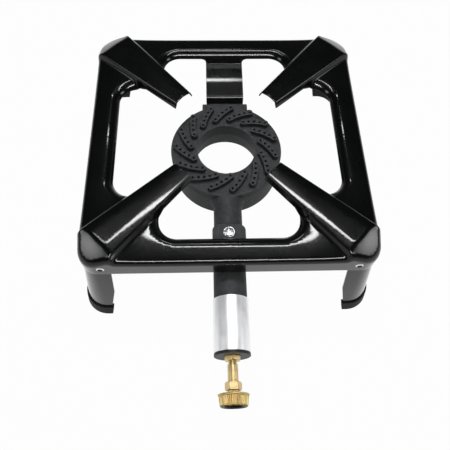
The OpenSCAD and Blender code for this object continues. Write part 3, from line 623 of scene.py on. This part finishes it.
def eighth_points(outline):
    """Points inside the outline, dense where the sheet bends and never too near each other."""
    rows = np.array(bend_points())
    rows = rows[inside(rows, outline) & (rows[:, 0] - rows[:, 1] > 0.5) & (rows[:, 1] > 0.5)]
    kept, cells = [], {}
    for p, fixed in [(q, True) for q in outline] + [(q, False) for q in rows]:
        i, j = int(p[0] // 1), int(p[1] // 1)
        near = [q for a in (-1, 0, 1) for b in (-1, 0, 1) for q in cells.get((i + a, j + b), ())]
        if fixed or all(math.dist(p, q) > NEAR for q in near):
            cells.setdefault((i, j), []).append(p)
            if not fixed:
                kept.append(p)
    return kept


def pressed_skin():
    """The outer skin of the pressing, an eighth drawn once and turned to its eight places.

    It comes from a height at each plan point, because the bars, ribs and facets of a pressing
    run into one another in fillets that extrusions can't give.
    """
    outline = np.array(eighth_outline())
    plan = [Vector(p) for p in outline] + [Vector(p) for p in eighth_points(outline)]
    found = delaunay_2d_cdt(plan, [], [list(range(len(outline)))], 1, 1e-5)
    plan = np.array([tuple(p) for p in found[0]])
    high = pressed_height(plan[:, 0], plan[:, 1])
    points, faces = [], []
    for swap in (False, True):
        x, y = (plan[:, 1], plan[:, 0]) if swap else (plan[:, 0], plan[:, 1])
        for sx in (1, -1):
            for sy in (1, -1):
                start = len(points)
                points += [MIDDLE + Vector(p) / 1000 for p in zip(sx * x, sy * y, high)]
                turned_over = (sx * sy < 0) != swap
                for face in found[2]:
                    row = [start + i for i in face]
                    faces.append(row[::-1] if turned_over else row)
    mesh = bpy.data.meshes.new("pressed_top")
    mesh.from_pydata(points, [], faces)
    piece = bpy.data.objects.new("pressed_top", mesh)
    bpy.context.scene.collection.objects.link(piece)
    join_corners(piece)
    return piece


def pressed_top():
    """The skin gets its skirt, then the thickness of the sheet and eased edges."""
    piece = pressed_skin()
    bpy.ops.object.mode_set(mode="EDIT")
    bpy.ops.mesh.select_all(action="DESELECT")
    bpy.ops.mesh.select_mode(type="VERT")
    bpy.ops.object.mode_set(mode="OBJECT")
    for v in piece.data.vertices:
        p = (v.co - MIDDLE) * 1000
        v.select = float(from_edge(abs(p.x), abs(p.y))) < 0.01
    bpy.ops.object.mode_set(mode="EDIT")
    # A lip row above the foot keeps the eased foot from tilting the light on the long wall.
    foot = MIDDLE + Vector((0, 0, LIP / 1000))
    for drop, flat in ((SKIRT_DROP, False), (LIP, True), (LIP, False)):
        bpy.ops.mesh.extrude_region_move(TRANSFORM_OT_translate={"value": (0, 0, -drop / 1000)})
        if flat:
            bpy.ops.transform.resize(value=(1, 1, 0), center_override=foot)
    bpy.ops.object.mode_set(mode="OBJECT")
    finish_with(piece, "SOLIDIFY", thickness=SHEET / 1000, offset=-1, use_quality_normals=True)
    ease_cut_edges(piece)
    take(piece)
    bpy.ops.object.shade_smooth_by_angle(angle=math.radians(45))
    return piece


def ease_cut_edges(piece):
    """Rounds the cut edges of the sheet: along the windows, the rib tips and the skirt's foot."""
    take(piece)
    bpy.ops.object.mode_set(mode="EDIT")
    bpy.ops.mesh.select_mode(type="EDGE")
    bpy.ops.mesh.select_all(action="DESELECT")
    bpy.ops.mesh.edges_select_sharp(sharpness=math.radians(55))
    bpy.ops.object.mode_set(mode="OBJECT")
    mesh = piece.data
    for edge in mesh.edges:
        if edge.select:
            p = (mesh.vertices[edge.vertices[0]].co - MIDDLE) * 1000
            x, y = max(abs(p.x), abs(p.y)), min(abs(p.x), abs(p.y))
            edge.select = bool(p.z < 2 or from_window(x, y) < 3 or math.hypot(x, y) < RIB_TIP + 2.5)
    bpy.ops.object.mode_set(mode="EDIT")
    bpy.ops.mesh.bevel(offset=CUT_BREAK / 1000, segments=2, affect="EDGES")
    bpy.ops.object.mode_set(mode="OBJECT")


# ---------------------------------------------------------------- strap and tab

# Millimetres from the middle, and heights over the skirt's foot.
BEND_PARTS = 6
STRAP_ROOT, STRAP_WIDE, STRAP_FLARE = 121.63, 44, 6
STRAP_HIGH, STRAP_SAG, STRAP_PARTS = 9.3, 4.3, 25
LUG_WALL, SHELF, SHELF_DEEP = 70.8, -13.75, 8
TAB_WIDE, TAB_ROUND, TAB_HIGH, TAB_END = 35, 7, -1.25, 95.63
UPPER_BEND, LOWER_BEND, TAB_BEND = 2.2, 3, 3
STRIP_BREAK = 0.35


def bent(corners, r):
    """A path of [y, height] corners with each inner corner rounded to radius r."""
    path = [Vector(corners[0])]
    for a, b, c in zip(corners, corners[1:], corners[2:]):
        a, b, c = Vector(a), Vector(b), Vector(c)
        p, q = (a - b).normalized(), (c - b).normalized()
        half_turn = p.angle(q) / 2
        middle = b + (p + q).normalized() * (r / math.sin(half_turn))
        back = r / math.tan(half_turn)
        start, end = b + p * back - middle, b + q * back - middle
        path += [middle + start.lerp(end, i / BEND_PARTS).normalized() * r
                 for i in range(BEND_PARTS + 1)]
    return path + [Vector(corners[-1])]


def strip(name, path, width_at, rounded):
    """Bent sheet drawn edge by edge along a path, then given its thickness."""
    clear()
    bpy.ops.mesh.primitive_plane_add(size=1)
    piece = bpy.context.object
    piece.name = name
    settle(piece)
    for v, (side, p) in zip(piece.data.vertices, ((-1, 0), (1, 0), (-1, 1), (1, 1))):
        y, z = path[p]
        v.co = MIDDLE + Vector((side * width_at(z) / 2, y, z)) / 1000
    bpy.ops.object.mode_set(mode="EDIT")
    bpy.ops.mesh.select_mode(type="VERT")
    bpy.ops.mesh.select_all(action="DESELECT")
    bpy.ops.object.mode_set(mode="OBJECT")
    for i, v in enumerate(piece.data.vertices):
        v.select = i >= 2
    bpy.ops.object.mode_set(mode="EDIT")
    for (y0, z0), (y1, z1) in zip(path[1:], path[2:]):
        step = Vector((0, y1 - y0, z1 - z0)) / 1000
        bpy.ops.mesh.extrude_region_move(TRANSFORM_OT_translate={"value": step})
        bpy.ops.transform.resize(value=(width_at(z1) / width_at(z0), 1, 1), center_override=MIDDLE)
    if rounded:
        bpy.ops.mesh.bevel(offset=rounded / 1000, segments=8, affect="VERTICES")
    bpy.ops.object.mode_set(mode="OBJECT")
    finish_with(piece, "SOLIDIFY", thickness=SHEET / 1000, offset=0, use_even_offset=True)
    close_up(piece)
    break_edges(piece, STRIP_BREAK, 55)
    smooth(piece, 35)
    return piece


def strap_width(z):
    """Width of the rear strap, with a round flare where it leaves the window's flange."""
    near = min(max(FLANGE - z, 0), STRAP_FLARE)
    away = STRAP_FLARE - math.sqrt(STRAP_FLARE ** 2 - (STRAP_FLARE - near) ** 2)
    return STRAP_WIDE + 2 * away


def rear_strap():
    """Down from the flange, forwards in a shallow sag, and down again under the burner's lug."""
    run = [(STRAP_ROOT + (LUG_WALL - STRAP_ROOT) * t, STRAP_HIGH - STRAP_SAG * t * t)
           for t in np.linspace(0, 1, STRAP_PARTS)]
    path = (bent([(STRAP_ROOT, FLANGE), run[0], run[2]], UPPER_BEND)
            + [Vector(p) for p in run[3:-3]]
            + bent([run[-3], run[-1], (LUG_WALL, SHELF), (LUG_WALL - SHELF_DEEP, SHELF)],
                   LOWER_BEND))
    # The flare needs more rows between the flange and the first bend.
    path[1:1] = [Vector((STRAP_ROOT, z)) for z in (17, 16.2, 15.2, 14, 12.8)]
    return strip("rear_strap", path, strap_width, 0)


def front_tab():
    """Down from the front flange and forwards under the pad of the mixing tube."""
    corners = [(-STRAP_ROOT, FLANGE), (-STRAP_ROOT, TAB_HIGH), (-TAB_END, TAB_HIGH)]
    return strip("front_tab", bent(corners, TAB_BEND), lambda z: TAB_WIDE, TAB_ROUND)


def top():
    for piece, made in ((pressed_top(), enamel), (rear_strap(), enamel), (front_tab(), iron)):
        dress(piece, made)
        ride_as(piece, "stand", "enamelled_steel", "top_frame")


# ---------------------------------------------------------------- legs

def legs():
    for corner in ("front_left", "front_right", "rear_left", "rear_right"):
        for name, node, made, slot in (("sheet_leg_", "leg_", enamel, "enamelled_steel"),
                                       ("rubber_boot_", "foot_", rubber, "black_rubber")):
            piece = joined_copy(name + corner, node + corner)
            smooth(piece, 25)
            dress(piece, made)
            ride_as(piece, "stand", slot, node + corner)


# ---------------------------------------------------------------- castings

def castings():
    """Copies of the two castings' solids with soft edges, as sand leaves them."""
    for name, node, grid, rounds in (("cast_burner_body", "burner_body", 1.1, 3),
                                     ("cast_burner_head", "burner_head", 0.7, 1)):
        piece = joined_copy(name, node)
        cast_skin(piece, grid, rounds)
        dress(piece, iron)
        ride_as(piece, "stand", "painted_iron", node)


# ---------------------------------------------------------------- fasteners

POLE = 0.02                 # radius of the smallest ring, in place of a point
RIVET_IN, RIVET_LOW = 22.5, 11.5
RIVET = {"radius": 4.0, "height": 1.3, "inner": 2.5}
BOLT_R, BOLT_HIGH, SHANK_R = 6.0, 3.6, 3.0
CROSS_LONG, CROSS_WIDE, CROSS_DEEP, CROSS_HIGH = 6.2, 1.1, 3.6, 3.5
CROSS_TURN = 0.35           # radians, as a screw happens to stop
BOLT_BREAK = 0.18


def turned(name, at, along, steps, sides=64, turn=0.0):
    """A ring turned about any axis; steps are [millimetres along it, radius]."""
    clear()
    z, r = steps[0]
    bpy.ops.mesh.primitive_circle_add(vertices=sides, radius=r / 1000, location=(0, 0, z / 1000),
                                      rotation=(0, 0, turn))
    piece = bpy.context.object
    piece.name = name
    settle(piece)
    bpy.ops.object.mode_set(mode="EDIT")
    bpy.ops.mesh.select_mode(type="EDGE")
    bpy.ops.mesh.select_all(action="SELECT")
    for (z0, r0), (z1, r1) in zip(steps, steps[1:]):
        bpy.ops.mesh.extrude_region_move(TRANSFORM_OT_translate={"value": (0, 0, (z1 - z0) / 1000)})
        bpy.ops.transform.resize(value=(r1 / r0, r1 / r0, 1), center_override=(0, 0, z1 / 1000))
    bpy.ops.object.mode_set(mode="OBJECT")
    close_up(piece)
    piece.matrix_world = (Matrix.Translation(at)
                          @ Vector(along).to_track_quat("Z", "Y").to_matrix().to_4x4())
    settle(piece)
    return piece


def domed(radius, height, inner):
    """Steps of a domed head from its inner edge to its outer edge."""
    dome = (radius ** 2 + height ** 2) / (2 * height)
    radii = [inner + (radius - inner) * i / 12 for i in range(13)]
    return [(math.sqrt(dome ** 2 - r ** 2) - dome + height, r) for r in radii]


def cut_with(piece, tool, operation):
    """Cuts the piece with a tool, which is then thrown away."""
    finish_with(piece, "BOOLEAN", operation=operation, object=tool, solver="EXACT")
    bpy.data.objects.remove(tool)


def leg_rivets():
    """Hollow pop rivets: a domed ring, the broken pin deep in its hole, and the set end inside."""
    head = domed(**RIVET)
    ring_steps = head + [(0.0, 4.0), (-0.02, 2.0), (-3.1, 2.0), (-3.1, 2.8), (-5.2, 2.4),
                          (-5.2, 1.25), (0.1, 1.25), (0.1, 2.5), head[0]]
    pin_steps = [(0.35, POLE), (0.35, 0.7), (0.1, 1.2), (-5.0, 1.2), (-5.3, 0.9), (-5.3, POLE)]
    count = 0
    for k in range(4):
        turn = Matrix.Rotation(math.pi / 2 * k, 3, "Z")
        out = turn @ Vector((1, 0, 0))
        for side in (-1, 1):
            count += 1
            at = MIDDLE + turn @ Vector((HALF, side * (HALF - RIVET_IN), RIVET_LOW)) / 1000
            ring = turned("rivet_" + str(count), at, out, ring_steps, 40)
            smooth(ring, 40)
            dress(ring, zinc, pin_steel_and_hole_shade)
            # The ring's faces round its hole take the pin's dark colour as painted shade of the
            # recess.
            for face in ring.data.polygons:
                p = turn.transposed() @ (face.center - at) * 1000
                face.material_index = int(math.hypot(p.y, p.z) < 2.6 and p.x > 0)
            pin = turned("rivet_pin_" + str(count), at, out, pin_steps, 24)
            smooth(pin, 40)
            dress(pin, pin_steel_and_hole_shade)
            for piece in (ring, pin):
                ride_as(piece, "stand", "bright_zinc", "leg_rivets")


def burner_bolt():
    """Round-headed screw with a crossed slot."""
    low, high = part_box("burner_bolt")
    at = Vector(((low[0] + high[0]) / 2, (low[1] + high[1]) / 2, high[2] - BOLT_HIGH / 1000))
    steps = (domed(BOLT_R, BOLT_HIGH, POLE)[:-1]
             + [(0.9, 5.85), (0.5, BOLT_R), (0.15, 5.95), (0.0, 5.7), (-0.01, SHANK_R),
                (-7.6, SHANK_R), (-7.98, 2.6), (-7.98, POLE)])
    screw = turned("burner_bolt_screw", at, (0, 0, 1), steps, 48)
    for turn in (CROSS_TURN, CROSS_TURN + math.pi / 2):
        clear()
        bpy.ops.mesh.primitive_cube_add(size=1, location=at + Vector((0, 0, CROSS_HIGH)) / 1000)
        slot = bpy.context.object
        slot.scale = Vector((CROSS_LONG, CROSS_WIDE, CROSS_DEEP)) / 1000
        slot.rotation_euler = (0, 0, turn)
        settle(slot)
        cut_with(screw, slot, "DIFFERENCE")
    break_edges(screw, BOLT_BREAK, 40)
    smooth(screw, 35)
    dress(screw, zinc)
    ride_as(screw, "stand", "bright_zinc", "burner_bolt")


# ---------------------------------------------------------------- shutter and gas inlet

# Millimetres out from the end of the mixing tube, towards the hose, and radii about its axis.
TOWARDS = (0, -1, 0)
SLEEVE_BACK, SLEEVE_FRONT, SLEEVE_IN, SLEEVE_OUT = -54.3, -0.3, 17.08, 18.0
DISC_FRONT = 2.7
NUT_FRONT, NUT_ACROSS, PIPE_HOLE = 6.9, 15, 4.05
PIPE_BACK, PIPE_FRONT, PIPE_R, GAS_BORE = -8.0, 30.3, 5.1, 2.0
NIPPLE_BACK, NIPPLE_FRONT, NIPPLE_ACROSS = 26.4, 34.4, 14
UNION_BACK, UNION_FRONT = 37.4, 49.0
TEETH, TOOTH_DEEP = 44, 0.7     # coarser than the real knurl, so that it shows
HEX_BREAK = 0.22


def along_tube(name, steps, sides=96, turn=0.0):
    """Turned about the tube's axis, from the end of the tube towards the gas hose."""
    return turned(name, TUBE_END, TOWARDS, steps, sides, turn)


def eased_tube(start, end, inner, outer, e):
    """A plain tube's steps with its four edges eased by e."""
    return [(start, inner + e), (start, outer - e), (start + 0.3 * e, outer - 0.3 * e),
            (start + e, outer), (end - e, outer), (end - 0.3 * e, outer - 0.3 * e),
            (end, outer - e), (end, inner + e), (end - e, inner), (start + e, inner),
            (start, inner + e)]


def hexagon(name, start, end, across, ease, both, turn=0.0):
    """A hexagon whose corners are turned down to a cone at one or both ends."""
    corner = across / math.sqrt(3)
    bore = PIPE_HOLE
    flat = [(start, bore), (start, corner), (end, corner), (end, bore), (start, bore)]
    piece = along_tube(name, flat, 6, turn)
    first = corner - 1.3 * ease if both else corner + 1
    back = start + (ease if both else 0)
    cone = [(start - 0.1, POLE), (start - 0.1, first), (back, corner + 0.01),
            (end - ease, corner + 0.01), (end + 0.1, corner - 1.5 * ease), (end + 0.1, POLE)]
    cut_with(piece, along_tube("cutter", cone), "INTERSECT")
    break_edges(piece, HEX_BREAK, 40)
    smooth(piece, 30)
    return piece


def threaded(start, end, crest, root, pitch):
    """Steps of a thread drawn as rings, a pitch apart."""
    steps = []
    for i in range(round((end - start) / pitch)):
        z = start + i * pitch
        steps += [(z, root), (z + 0.35 * pitch, crest), (z + 0.5 * pitch, crest),
                  (z + 0.85 * pitch, root)]
    return steps


def air_shutter():
    steps = eased_tube(SLEEVE_BACK, SLEEVE_FRONT, SLEEVE_IN, SLEEVE_OUT, 0.3)
    sleeve = along_tube("shutter_sleeve", steps, 128)
    smooth(sleeve, 40)
    dress(sleeve, aluminium)
    ride_as(sleeve, "shutter", "turned_aluminium", "air_shutter")


def end_disc():
    """Disc with a rounded rim and a shallow recess round the lock nut."""
    r, front = SLEEVE_OUT, DISC_FRONT
    steps = [(0, PIPE_HOLE), (0, r - 0.3), (0.3, r), (2.2, r), (2.5, r - 0.15), (front, r - 0.5),
             (front, 15.0), (2.6, 14.8), (2.6, 9.8), (front, 9.6), (front, PIPE_HOLE), (0, PIPE_HOLE)]
    disc = along_tube("black_end_disc", steps, 128)
    smooth(disc, 30)
    dress(disc, plate)
    ride_as(disc, "stand", "black_plate", "end_disc")


def gas_pipe():
    """Lock nut, pipe with its thread, and the nipple with its hexagon."""
    nut = hexagon("hex_lock_nut", DISC_FRONT, NUT_FRONT, NUT_ACROSS, 1.1, False)
    steps = ([(PIPE_BACK, GAS_BORE), (PIPE_BACK, 3.8), (3.0, 3.9)]
             + threaded(3.0, 9.9, 4.0, 3.45, 1.0)
             + [(9.9, 3.6), (9.9, 4.5), (10.3, 5.0), (10.7, PIPE_R), (25.9, PIPE_R),
                (NIPPLE_BACK, 4.7), (NIPPLE_BACK, 4.0), (PIPE_FRONT, 4.0), (PIPE_FRONT, GAS_BORE),
                (PIPE_BACK, GAS_BORE)])
    tube = along_tube("inlet_pipe", steps, 72)
    smooth(tube, 30)
    six = hexagon("nipple_hexagon", NIPPLE_BACK, NIPPLE_FRONT, NIPPLE_ACROSS, 1.0, True, math.pi / 6)
    steps = [(34.35, 2.05), (34.35, 5.5), (39.6, 5.5), (39.6, 8.3), (40.9, 8.3), (40.9, 4.0),
             (42.0, 3.9), (42.0, 2.05), (34.35, 2.05)]
    neck = along_tube("nipple_neck", steps, 64)
    smooth(neck, 30)
    for piece, node in ((nut, "lock_nut"), (tube, "gas_pipe"), (six, "inlet_nipple"),
                        (neck, "inlet_nipple")):
        dress(piece, gold)
        ride_as(piece, "stand", "yellow_zinc", node)


def union_nut():
    """Hand nut: a lipped, tapered body with straight knurls, and the thread inside its mouth."""
    a, b = UNION_BACK, UNION_FRONT
    steps = ([(a + 2.5, 5.6), (a + 0.3, 5.6), (a, 5.9), (a, 14.2), (a + 0.25, 14.75), (a + 0.8, 15.0),
              (a + 1.3, 14.9), (a + 1.7, 14.3), (a + 2.3, 14.1), (a + 3.0, 14.1), (b - 1.4, 13.3),
              (b - 1.1, 12.95), (b - 0.5, 12.9), (b, 12.3), (b, 11.6), (b - 0.5, 11.2), (b - 0.6, 9.6)]
             + threaded(b - 5.6, b - 0.6, 9.2, 9.7, 1.25)[::-1]
             + [(b - 6.0, 9.9), (a + 2.5, 9.9), (a + 2.5, 5.6)])
    nut = along_tube("knurled_union_nut", steps, 2 * TEETH)
    for v in nut.data.vertices:
        p = v.co - TUBE_END
        r, z = 1000 * math.hypot(p.x, p.z), -1000 * p.y
        groove = round(math.atan2(p.z, p.x) * TEETH / math.pi) % 2
        if groove and a + 2.2 < z < b - 0.9 and r > 12.8:
            inwards = 1 - TOOTH_DEEP / r
            v.co = TUBE_END + Vector((p.x * inwards, p.y, p.z * inwards))
    smooth(nut, 25)
    # The second colour is painted shade with painted glints, put on the end face and in the mouth with
    # its thread.
    dress(nut, knurl, mouth)
    for face in nut.data.polygons:
        p = (face.center - TUBE_END) * 1000
        in_mouth = math.hypot(p.x, p.z) < 11.7 and -p.y > b - 7
        face.material_index = int(-p.y > b - 0.45 or in_mouth)
    ride_as(nut, "union", "yellow_zinc", "union_nut")


def seal_washer():
    seal = along_tube("hose_seal", eased_tube(41.0, 42.1, 4.1, 8.9, 0.25), 64)
    smooth(seal, 40)
    dress(seal, rubber)
    ride_as(seal, "stand", "black_rubber", "seal_washer")


# ---------------------------------------------------------------- the whole burner

low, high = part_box("top_frame")
MIDDLE = Vector(((low[0] + high[0]) / 2, (low[1] + high[1]) / 2, high[2] - CREST / 1000))
low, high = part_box("end_disc")
TUBE_END = Vector(((low[0] + high[0]) / 2, high[1], (low[2] + high[2]) / 2))

place_camera()
studio()
enamel, iron, aluminium, gold = gloss_enamel(), painted_iron(), turned_aluminium(), yellow_zinc()
zinc, rubber, plate, jet = bright_zinc(), black_rubber(), black_plate(), brass()
pin_steel_and_hole_shade, knurl, mouth = dark_pin(), knurled_zinc(), painted_mouth_shade()

top()
legs()
castings()
leg_rivets()
burner_bolt()
air_shutter()
end_disc()
gas_pipe()
union_nut()
seal_washer()
dress(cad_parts["gas_jet"], jet)

bpy.context.scene.view_settings.view_transform = "Standard"
